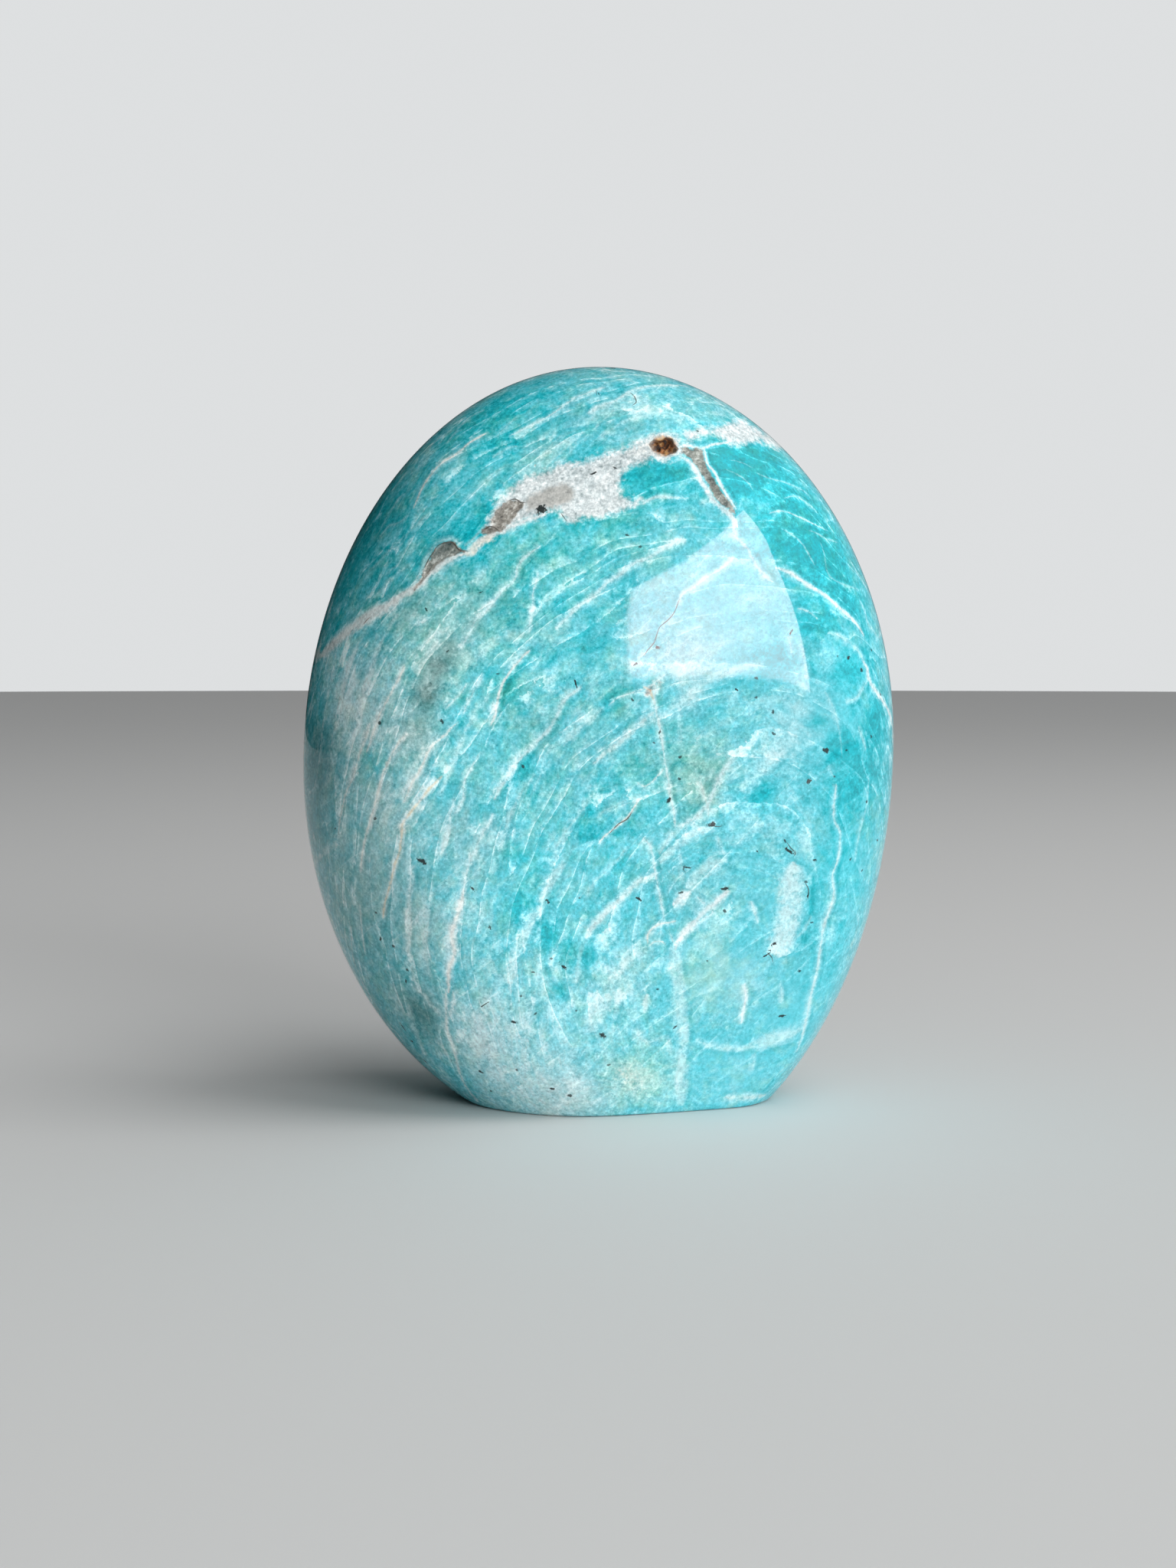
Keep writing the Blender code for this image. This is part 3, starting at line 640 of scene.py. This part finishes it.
# Where iron has stained it rusty: (x and y, radius in mm, how much).
RUST = (
    (868, 582, 1.9, 1.2), (846, 905, 0.7, 0.62), (851, 898, 0.55, 0.5), (832, 588, 2.4, 0.3),
    (700, 608, 0.35, 0.7), (862, 893, 0.8, 0.45), (835, 1415, 4, 0.3), (812, 1398, 2.5, 0.25),
    (640, 704, 1.5, 0.35), (660, 575, 0.8, 0.2), (525, 1081, 1.8, 0.35), (548, 955, 2.5, 0.22),
    (833, 681, 1.5, 0.2),
)


def direction_of(points):
    """The unit sphere's direction of each traced point, given as x and y in turn."""
    found = []
    for x, y in np.reshape(points, (-1, 2)):
        if x < 0:
            found.append(direction_at(*photo_ray(np.array([(-x, y)], float), 0.0), 1.0)[0])
        else:
            found.append(seen_direction([(x, y)])[0])
    return np.array(found)


def traced(points, step=0.7):
    """A smooth line on the stone through traced points, with a point for about each step in mm."""
    knots = direction_of(points)
    ahead = np.vstack((2.0 * knots[0] - knots[1], knots, 2.0 * knots[-1] - knots[-2]))
    line = []
    for index in range(1, len(ahead) - 2):
        before, start, stop, after = ahead[index - 1:index + 3]
        ends = on_stone(np.array((start, stop)))
        length = np.linalg.norm(ends[0] - ends[1])
        for share in np.arange(0.0, 1.0, 1.0 / max(1, round(length / step))):
            line.append(0.5 * (2.0 * start + (stop - before) * share
                               + (2.0 * before - 5.0 * start + 4.0 * stop - after) * share**2
                               + (3.0 * start - before - 3.0 * stop + after) * share**3))
    line.append(knots[-1])
    return on_stone(on_sphere(np.array(line)))


def nearness(x, y, radius):
    """How near each vertex is to a spot: 1 at its middle, and falling off over its radius in mm."""
    middle = on_stone(direction_of((x, y)))[0]
    return np.exp(-np.sum((surface - middle) ** 2, axis=1) / radius**2)


FAR = 9.0
END_POINTS = 3.0
outward_normal = rows(stone.data.vertices, "normal")


def offsets(line, half_width, reach):
    """For the vertices near a line: their numbers, side offset, distance and the line's half width.

    The offset is positive to the right of a line that runs down, and above one that runs right. The
    half width tapers to nothing at the two ends.
    """
    low, high = line.min(axis=0) - reach, line.max(axis=0) + reach
    near = np.flatnonzero(np.all((surface > low) & (surface < high), axis=1))
    here = surface[near]
    tangents = np.gradient(line, axis=0)
    best = np.full(len(near), 1e9)
    place = np.zeros(len(near))
    for index in range(len(line) - 1):
        run = line[index + 1] - line[index]
        share = np.clip((here - line[index]) @ run / max(run @ run, 1e-12), 0.0, 1.0)
        gap = np.linalg.norm(here - line[index] - share[:, None] * run, axis=1)
        closer = gap < best
        best[closer] = gap[closer]
        place[closer] = index + share[closer]
    whole = np.minimum(place.astype(int), len(line) - 2)
    part = (place - whole)[:, None]
    foot = line[whole] * (1.0 - part) + line[whole + 1] * part
    tangent = tangents[whole] * (1.0 - part) + tangents[whole + 1] * part
    across = np.cross(outward_normal[near], tangent)
    across /= np.maximum(np.linalg.norm(across, axis=1, keepdims=True), 1e-9)
    side = np.sum((here - foot) * across, axis=1)
    end = np.minimum(place, len(line) - 1 - place) / END_POINTS
    width = half_width * np.sqrt(np.clip(end, 0.0, 1.0))
    kept = best < reach
    return near[kept], side[kept], best[kept], width[kept]


tone = np.zeros((len(surface), 4))
for x, y, radius, *amounts in TONES:
    tone[:, :len(amounts)] += nearness(x, y, radius)[:, None] * np.array(amounts)
calm, rust = np.zeros((2, len(surface)))
for x, y, radius, amount in CALM:
    calm = np.maximum(calm, amount * nearness(x, y, radius))
for x, y, radius, amount in RUST:
    rust += amount * nearness(x, y, radius)


def bare():
    """Four numbers for each vertex, before any line has come near it."""
    return np.tile((FAR, FAR, 0.0, 0.0), (len(surface), 1))


def keep_nearest(kept, number, near, side, gap, width):
    """Keeps a line's offsets, with one more number, where it is nearer than the lines before it."""
    closer = gap < kept[near, 1]
    kept[near[closer]] = np.stack((side, gap, width, np.full(len(gap), number)), axis=1)[closer]


# Each vein goes to the first layer in which every other vein is well away from it. A layer keeps, for
# each vertex, its offset and distance from the nearest vein, that vein's half width, and one number
# with the vein's strength in tenths before the point and its stain after it.
LAYER_GAP = 2.4
GUARD = 2.0
MILK_START = 0.5
layers = []
for half_width_mm, stain, strength, milk_and_shade_left, milk_and_shade_right, points_seen in VEINS:
    line = traced(points_seen)
    for layer in layers:
        gaps = [np.linalg.norm(line[:, None] - other[None], axis=2).min() for other in layer["lines"]]
        if min(gaps) > LAYER_GAP + half_width_mm:
            break
    else:
        layer = {"lines": [], "values": bare()}
        layers.append(layer)
    layer["lines"].append(line)
    near, side, gap, width = offsets(line, half_width_mm, GUARD + half_width_mm)
    keep_nearest(layer["values"], round(10.0 * strength) + 0.05 + 0.9 * stain, near, side, gap, width)
    fade = np.clip(1.0 - gap / GUARD, 0.0, 1.0) * np.clip(width / half_width_mm, 0.0, 1.0)
    # The milk beside the vein; a side set below zero is partly painted shade, as on the dark flank of a
    # ridge.
    milky = np.where(side < 0.0, milk_and_shade_left, milk_and_shade_right) * np.clip(np.abs(side) / MILK_START, 0.0, 1.0)
    tone[near, 0] += fade * milky

CRACK_STEP = 0.4
dark = bare()
for half_width_mm, brown, points_seen in CRACKS_AND_EDGE_SHADE:
    keep_nearest(dark, brown, *offsets(traced(points_seen, CRACK_STEP), half_width_mm, GUARD))

# The sides and the back carry such specks too, scattered at random, and more of the tiniest ones.
HIDDEN_SPECKS = 90
HIDDEN_FROM_Y = -0.15
SCATTER_SEED = 41
scatter = np.random.default_rng(SCATTER_SEED)
placed = []
for x, y, half_length, half_breadth, slant in SPECKS:
    placed.append((direction_of((x, y))[0], half_length, half_breadth, slant))
while len(placed) < len(SPECKS) + HIDDEN_SPECKS:
    direction = scatter.normal(size=3)
    direction /= np.linalg.norm(direction)
    half_length = 0.2 + 0.35 * scatter.random() ** 3
    if direction[1] > HIDDEN_FROM_Y:
        half_breadth = half_length * scatter.uniform(0.4, 0.9)
        placed.append((direction, half_length, half_breadth, scatter.uniform(-80, 80)))
speck = np.tile((FAR, FAR, FAR, 0.0), (len(surface), 1))
for direction, half_length, half_breadth, slant in placed:
    away = surface - on_stone(direction[None])[0]
    gap = np.linalg.norm(away, axis=1)
    near = np.flatnonzero((gap < GUARD) & (gap < speck[:, 2]))
    level = np.cross((0.0, 0.0, 1.0), outward_normal[np.argmin(gap)])
    level /= np.linalg.norm(level)
    upward = np.cross(outward_normal[np.argmin(gap)], level)
    slope = math.radians(slant)
    speck[near, 0] = away[near] @ (level * math.cos(slope) + upward * math.sin(slope)) / half_length
    speck[near, 1] = away[near] @ (upward * math.cos(slope) - level * math.sin(slope)) / half_breadth
    speck[near, 2], speck[near, 3] = gap[near], half_length


def patch_depth(*outlines):
    """How deep each vertex lies inside any of the outlines, in mm, on the face that is seen."""
    depth = np.max([depth_inside(outline, pixels) for outline in outlines], axis=0) / PIXELS_PER_MM
    return np.where(facing, np.maximum(depth, -FAR), -FAR)


# Four numbers for each vertex of the stone under each name, for its material to read.
white = patch_depth(WHITE_PATCH, BRIGHT_PATCH)
quartz = patch_depth(POCKET_LEFT, POCKET_MIDDLE, QUARTZ_BRANCH)
patches = np.stack((white, quartz, patch_depth(CLEAR_PATCH), rust), axis=1)
kept = {"tone": tone, "dark": dark, "speck": speck, "patches": patches,
        "calm": np.stack((calm,) * 4, axis=1)}
kept.update(("vein_%d" % number, layer["values"]) for number, layer in enumerate(layers))
for name, values in kept.items():
    attribute = stone.data.attributes.new(name, "FLOAT_COLOR", "POINT")
    attribute.data.foreach_set("color", values.astype(np.float32).ravel())


# The material
# Feldspar coloured blue-green by traces of lead and water, shot through with white threads, all under
# one polish. Its grain runs in rings round a place low on the right of the stone.


def new_material(mesh, name):
    """Gives a mesh a new material; returns its node tree and its shader."""
    material = bpy.data.materials.new(name)
    material.use_nodes = True
    mesh.materials.append(material)
    return material.node_tree, material.node_tree.nodes["Principled BSDF"]


def feed(made, values):
    """Gives sockets of a node their values or links."""
    for name, value in values.items():
        if isinstance(value, Wire):
            tree.links.new(value.socket, made.inputs[name])
        else:
            made.inputs[name].default_value = value


def set_stops(elements, stops):
    """Gives a ramp its (position, colour) stops."""
    while len(elements) < len(stops):
        elements.new(0.5)
    for element, (position, color) in zip(elements, stops):
        element.position = position
    for element, (position, color) in zip(elements, stops):
        element.color = (*color, 1.0)


def node(kind, settings, values):
    """Adds one node to the tree at hand: its settings, then the values or links of its sockets."""
    made = tree.nodes.new(kind)
    for name, value in settings.items():
        if name == "stops":
            set_stops(made.color_ramp.elements, value)
        else:
            setattr(made, name, value)
    feed(made, values)
    return made


class Wire:
    """A number that varies over the stone; arithmetic on it adds the Math nodes that work it out."""

    def __init__(self, socket):
        self.socket = socket

    def math(self, operation, *others):
        return wire("ShaderNodeMath", {"operation": operation}, dict(enumerate((self, *others))))

    def __add__(self, other):
        return self.math("ADD", other)

    def __sub__(self, other):
        return self.math("SUBTRACT", other)

    def __mul__(self, other):
        return self.math("MULTIPLY", other)

    def __truediv__(self, other):
        return self.math("DIVIDE", other)

    def __abs__(self):
        return self.math("ABSOLUTE")

    __radd__ = __add__
    __rmul__ = __mul__

    def __rsub__(self, other):
        return wire("ShaderNodeMath", {"operation": "SUBTRACT"}, {0: other, 1: self})

    def clamped(self):
        return wire("ShaderNodeClamp", {}, {0: self})


def wire(kind, settings, values, output=0):
    """One output of a new node."""
    return Wire(node(kind, settings, values).outputs[output])


def rise(value, start, stop):
    """0 below start and 1 above stop, smoothly; the other way round if stop is the smaller."""
    values = {"Value": value, "From Min": start, "From Max": stop}
    settings = {"interpolation_type": "SMOOTHSTEP"}
    if stop < start:
        values.update({"From Min": stop, "From Max": start, "To Min": 1.0, "To Max": 0.0})
    return wire("ShaderNodeMapRange", settings, values)


def vector(x, y, z):
    """Three numbers as one vector."""
    return wire("ShaderNodeCombineXYZ", {}, {0: x, 1: y, 2: z})


def noise(place, scale, detail, roughness=0.55, distortion=0.0):
    """Soft noise about 0.5."""
    values = {"Vector": place, "Scale": scale, "Detail": detail, "Roughness": roughness,
              "Distortion": distortion}
    return wire("ShaderNodeTexNoise", {}, values)


def crystals(place, scale):
    """One random number about 0.5 for each of the angular grains that fill the stone."""
    return wire("ShaderNodeTexVoronoi", {}, {"Vector": place, "Scale": scale}, "Color")


def three(value):
    """The three numbers of a vector."""
    return (Wire(socket) for socket in node("ShaderNodeSeparateXYZ", {}, {0: value}).outputs)


def four(name):
    """The four numbers kept for each vertex under a name."""
    kept = node("ShaderNodeAttribute", {"attribute_name": name}, {})
    return (*three(Wire(kept.outputs["Color"])), Wire(kept.outputs["Alpha"]))


def blend(share, first, second):
    """Two colours mixed by a share."""
    return wire("ShaderNodeMix", {"data_type": "RGBA"}, {0: share, 6: first, 7: second}, 2)


def ramp(value, stops):
    """A colour for each value, through (position, colour) stops, or through evenly spaced colours."""
    if len(stops[0]) > 2:
        stops = [(number / (len(stops) - 1.0), color) for number, color in enumerate(stops)]
    return wire("ShaderNodeValToRGB", {"stops": stops}, {0: value})


tree, polish = new_material(stone.data, "polished amazonite")
x, y, z = (axis * 1000.0 for axis in three(wire("ShaderNodeTexCoord", {}, {}, "Object")))
spot = vector(x, y, z)

drift = noise(spot, 0.045, 2.0)
waver = noise(spot, 0.16, 2.0)
ring_x = (x - 22.3) / 0.806
ring_z = z - 25.4
from_centre = (ring_x * ring_x + ring_z * ring_z).math("SQRT")
even_ring = from_centre + y * 0.35 + (drift - 0.5) * 7.0
ring = even_ring + (drift - 0.5) * 7.0 + (waver - 0.5) * 5.0
ringed = rise(from_centre, 9.0, 26.0)

streaks = noise(vector(ring * 0.42, x * 0.10 + y * 0.09, z * 0.10 - y * 0.09), 1.0, 3.0, 0.55)
fibres = noise(vector(ring * 1.7, x * 0.60 + y * 0.3, z * 0.60), 1.0, 3.0, 0.62)
slanting = noise(vector((x + z) * 0.30, y * 0.9, (x - z) * 1.05), 1.0, 3.0, 0.6)
flecks = noise(vector(x * 1.30 - z * 0.35, y * 1.1, z * 0.95 + x * 0.25), 1.0, 3.0, 0.6, 0.6)
mottles = noise(spot, 0.42, 3.0, 0.6, 0.4)
grain = noise(spot, 2.3, 4.0, 0.68)
crumbs = noise(spot, 1.5, 3.0, 0.7)
blotches = noise(spot, 0.13, 3.0, 0.6)
patchy = noise(spot, 0.45, 2.0)
wobble = (noise(spot, 0.9, 3.0, 0.6) - 0.5) * 0.9
ragged = (grain - 0.5) * 2.2
laths = crystals(vector(ring * 1.25 + ragged, x * 0.42 + y * 0.6 + (crumbs - 0.5) * 2.2,
                        z * 0.62 + ragged), 1.0)
shards = crystals(vector(x + ragged * 0.5, y + (crumbs - 0.5) * 1.2, z + (flecks - 0.5) * 1.4), 1.7)

milk_tone, green_tone, grey_tone, deep_and_shade = four("tone")
white_depth, quartz_depth, clear_depth, rust_tone = four("patches")
calm = four("calm")[0]


def scales(across, along, count):
    """Overlapping scales, like cleavage seen through the polish: each pales towards one sharp edge."""
    field = noise(vector(across, along, y * 0.05), 1.0, 1.0, 0.4, 0.15)
    step = (field * count + (crumbs - 0.5) * 0.22).math("FRACT")
    return (step * step * step * 0.8 + rise(step, 0.88, 0.97) * 0.4) * rise(mottles, 0.34, 0.60)


ring_scales = scales(even_ring * 0.125, (x + z) * 0.012, 8.0)
slant_scales = scales((x - z) * 0.090, (x + z) * 0.014, 7.0)
lined = rise(z - x * 0.4, 6.0, 26.0)
thin = ((ring_scales * (0.10 + ringed * 0.90) - 0.14) * lined
        + slant_scales * (1.0 - ringed * 0.60) - 0.08)

# How far each vein's white reaches, the milky halo that it leaves in the stone beside it, and the
# painted shadow along one side of it that makes it look like a raised ridge.
seams = []
halo = mottles * 0.0
shadow = halo
broken = rise(noise(spot, 0.33, 2.0, 0.6) + (crumbs - 0.5) * 0.9, 0.33, 0.55)
for number in range(len(layers)):
    side, gap, width, kind = four("vein_%d" % number)
    strength = kind.math("FLOOR") * 0.1
    bend = abs(side + wobble * (0.25 + width * 0.7))
    kept = rise(gap - width * 1.6, 1.0, 0.5) * rise(width, 0.0, 0.12) * strength
    reach = width * (0.15 + patchy * 1.0) + (crumbs - 0.5) * 0.34
    core = rise((bend - reach) / (width * 0.45 + 0.10), 0.9, -0.8)
    bright = rise(strength, 0.85, 0.95)
    whole = 0.45 + bright * 0.3 + broken * (0.55 - bright * 0.3)
    seams.append((core * kept * whole * (0.62 + bright * 0.33), kind.math("FRACT"), bright))
    milky = rise((bend - width * 0.3) / (width + 0.8), 1.0, 0.0) * kept * (0.4 + broken * 0.6)
    halo = halo.math("MAXIMUM", milky)
    beside = side - wobble * 0.3 - width * 1.2
    shaded = rise(beside, 0.0, 0.35) * rise(beside, 1.5, 0.35) * kept * (0.3 + broken * 0.7)
    shadow = shadow.math("MAXIMUM", shaded)

texture = 0.78 - calm * 0.45
milk = (0.505 + milk_tone + (blotches - 0.5) * 0.45 + halo * 0.30 - shadow * 0.14
        + ((streaks - 0.5) * (0.15 + ringed * 0.45) + (fibres - 0.5) * (0.15 + ringed * 0.22)
           + (slanting - 0.5) * (0.40 - ringed * 0.22) + (flecks - 0.5) * 0.30 + (mottles - 0.5) * 0.32
           + (crumbs - 0.5) * 0.28 + (grain - 0.5) * 0.25 + (laths - 0.5) * 0.13 + (shards - 0.5) * 0.10
           + thin * (0.42 - calm * 0.2)) * texture)
shade = ((grain - 0.5) * 0.88 + (crumbs - 0.5) * 0.80 + (flecks - 0.5) * 0.35 + (mottles - 0.5) * 0.30
         + (laths - 0.5) * 0.16 + (shards - 0.5) * 0.12 + thin * 0.20) * (1.0 - calm * 0.55)
shade = shade - shadow * 0.12 - 0.03

# The colours of the stone, each from deep to milky.
BLUE_GREENS = ((0.001, 0.42, 0.49), (0.02, 0.55, 0.64), (0.15, 0.655, 0.755), (0.38, 0.78, 0.85),
               (0.65, 0.88, 0.92))
GREENS = ((0.015, 0.35, 0.3), (0.06, 0.48, 0.425), (0.205, 0.61, 0.55), (0.42, 0.75, 0.695),
          (0.68, 0.865, 0.815))
GREYS = ((0.06, 0.17, 0.165), (0.12, 0.265, 0.255), (0.245, 0.405, 0.395), (0.42, 0.565, 0.555),
         (0.66, 0.73, 0.72))
greener = (0.12 + green_tone + (blotches - 0.5) * 1.2 + (patchy - 0.5) * 1.6
           + (laths - 0.5) * 0.3).clamped()
color = blend(greener, ramp(milk, BLUE_GREENS), ramp(milk, GREENS))
greyer = (grey_tone + (waver - 0.5) * 0.4 + (mottles - 0.5) * 0.5).clamped()
color = blend(greyer, color, ramp(milk, GREYS))

WHITE, CREAM, OCHRE = (0.78, 0.91, 0.93, 1.0), (0.88, 0.87, 0.80, 1.0), (0.72, 0.58, 0.32, 1.0)
PALE_GREEN = (0.52, 0.84, 0.86, 1.0)
for seam, stain, bright in seams:
    seam_color = blend(bright, PALE_GREEN, WHITE)
    seam_color = blend(rise(stain, 0.05, 0.55), seam_color, CREAM)
    seam_color = blend(rise(stain, 0.5, 0.95) * rise(patchy, 0.35, 0.6), seam_color, OCHRE)
    color = blend(seam, color, seam_color)

white = rise(white_depth + wobble * 1.5 + (crumbs - 0.5) * 1.8 + (mottles - 0.5) * 1.6, -0.85, 0.65)
white_color = ramp(grain * 0.20 + crumbs * 0.25 + flecks * 0.30 + mottles * 0.25,
                   ((0.38, (0.44, 0.52, 0.53)), (0.45, (0.64, 0.70, 0.71)), (0.52, (0.78, 0.82, 0.82)),
                    (0.60, (0.92, 0.92, 0.91))))
clear = rise(clear_depth + wobble * 0.9 + (crumbs - 0.5) * 1.2, -0.45, 0.55)
white_color = blend(clear * 0.8, white_color, (0.50, 0.46, 0.42, 1.0))
color = blend(white * 0.95, color, white_color)

quartz_edge = rise(quartz_depth + wobble * 0.8 + (crumbs - 0.5) * 0.9, -0.15, 0.20)
quartz_color = ramp(fibres * 0.25 + grain * 0.2 + mottles * 0.45 + shards * 0.1,
                    ((0.38, (0.08, 0.065, 0.05)), (0.46, (0.22, 0.19, 0.155)), (0.53, (0.36, 0.325, 0.275)),
                     (0.61, (0.64, 0.62, 0.57))))
color = blend(quartz_edge * 0.9, color, quartz_color)

rust_amount = rise(rust_tone + (crumbs - 0.5) * 1.1 * rise(rust_tone, 0.02, 0.3), 0.15, 0.85)
rust_color = ramp(noise(spot, 0.8, 3.0, 0.6), ((0.38, (0.04, 0.018, 0.008)), (0.48, (0.40, 0.14, 0.03)),
                                               (0.62, (0.66, 0.42, 0.18))))
rust_color = blend(rise(rust_tone, 0.55, 0.25), rust_color, CREAM)
color = blend(rust_amount * 0.95, color, rust_color)

# Darker towards a deep teal by the fourth tone amount: partly the stone's deeper colour, partly painted
# shade on the rims.
color = blend((deep_and_shade * 0.6).clamped(), color, (0.0, 0.07, 0.09, 1.0))
lit = vector(*(3 * (shade + 1.0,)))
color = wire("ShaderNodeVectorMath", {"operation": "MULTIPLY"}, {0: color, 1: lit})

# Thin dark lines: cracks, and painted shade along the upper edges of the quartz pockets.
side, gap, width, brown = four("dark")
crack_and_edge_shade = rise(abs(side + wobble * 0.18) - width * (0.5 + patchy), 0.05, -0.05) * rise(gap - width, 0.6, 0.3)
crack_and_edge_shade = crack_and_edge_shade * rise(grain, 0.30, 0.45) * rise(width, 0.0, 0.05)
color = blend(crack_and_edge_shade * 0.85, color, blend(brown, (0.035, 0.045, 0.04, 1.0), (0.20, 0.13, 0.09, 1.0)))

along, short, gap, size = four("speck")
round_one = (along * along + short * short).math("SQRT") + (noise(spot, 2.4, 4.0, 0.7) - 0.5) * 3.6
black = rise(round_one, 1.08, 0.78) * rise(gap - size, 0.9, 0.5) * (0.55 + size).clamped()
color = blend(black * 0.96, color, (0.010, 0.016, 0.016, 1.0))

roughness = 0.02 + white * 0.03 + quartz_edge * 0.08 + rust_amount * 0.35
relief = (grain - 0.5) * 0.4 + (fibres - 0.5) * 0.4
bump = wire("ShaderNodeBump", {}, {"Strength": 0.05, "Distance": 0.00002, "Height": relief})
feed(polish, {"Base Color": color, "Roughness": roughness, "Normal": bump, "IOR": 1.53})


# The floor
# A plain pale sheet of card, wide enough to fill the view, with a dull finish.

bpy.ops.object.select_all(action="DESELECT")
bpy.ops.mesh.primitive_circle_add(vertices=96, radius=4.0, fill_type="NGON")
floor = bpy.context.object
floor.name = "floor"
tree, card = new_material(floor.data, "pale card")
feed(card, {"Base Color": (0.70, 0.695, 0.685, 1.0), "Roughness": 0.75})


# The light
# One soft window pane behind the camera, a little to its right, which the polish mirrors, daylight
# round it and from above that is too soft to mirror, and a room that is dark to the left.

DAYLIGHT = (0.98, 0.995, 1.0)
LIT_PLACE = (0.0, 0.0, 0.06)


def softbox(name, place, width, height, radiance):
    """An area light of the given size in metres, aimed at the stone, that no polish mirrors."""
    data = bpy.data.lights.new(name, "AREA")
    data.shape = "RECTANGLE"
    data.size, data.size_y = width, height
    data.energy = radiance * math.pi * width * height
    data.color = DAYLIGHT
    light = add_object(name, data)
    toward = [a - b for a, b in zip(LIT_PLACE, place)]
    yaw = math.atan2(toward[1], toward[0]) - math.pi / 2.0
    pitch = math.atan2(toward[2], math.hypot(toward[0], toward[1]))
    light.location = place
    light.rotation_euler = (math.pi / 2.0 + pitch, 0.0, yaw)
    light.visible_camera = False
    light.visible_glossy = False


softbox("front daylight", place=(0.72, -1.38, 0.45), width=0.9, height=0.7, radiance=7.9)
softbox("overhead daylight", place=(0.7, -0.25, 1.30), width=0.9, height=0.9, radiance=2.8)

PANE_Y = -1530.0
PANE = ((305, 145), (295, 240), (350, 270), (415, 345), (610, 580), (960, 955), (960, 820), (900, 670),
        (730, 445), (630, 225), (605, 150))
PANE_RADIANCE = 8.4
PANE_LIGHT = (1.0, 0.72, 0.75)
pane_mesh = bpy.data.meshes.new("window pane")
pane_mesh.from_pydata([(x * MM, PANE_Y * MM, z * MM) for x, z in PANE], [], [list(range(len(PANE)))])
pane = add_object("window_pane", pane_mesh)
pane.visible_camera = False
pane.visible_diffuse = False
tree, glow = new_material(pane_mesh, "window light")
feed(glow, {"Base Color": (0.0, 0.0, 0.0, 1.0), "Emission Color": (*PANE_LIGHT, 1.0),
            "Emission Strength": PANE_RADIANCE})

world = bpy.data.worlds.new("room")
bpy.context.scene.world = world
world.use_nodes = True
tree = world.node_tree
to_right, to_back, to_top = three(wire("ShaderNodeTexCoord", {}, {}, "Generated"))
side_light = rise(to_right, -0.35, 0.60) * 1.23 + 0.02
back_light = 1.0 - rise(to_back, -0.5, 0.6) * 0.6
top_light = rise(to_top, 0.1, 1.0) * 0.35 + 0.75
BACKDROP_LIGHT = 0.75
levels = {0: wire("ShaderNodeLightPath", {}, {}, "Is Camera Ray"), 2: side_light * back_light * top_light,
          3: BACKDROP_LIGHT}
feed(tree.nodes["Background"], {"Color": (0.97, 0.99, 1.0, 1.0),
                                "Strength": wire("ShaderNodeMix", {"data_type": "FLOAT"}, levels)})

bpy.context.scene.view_settings.view_transform = "Standard"
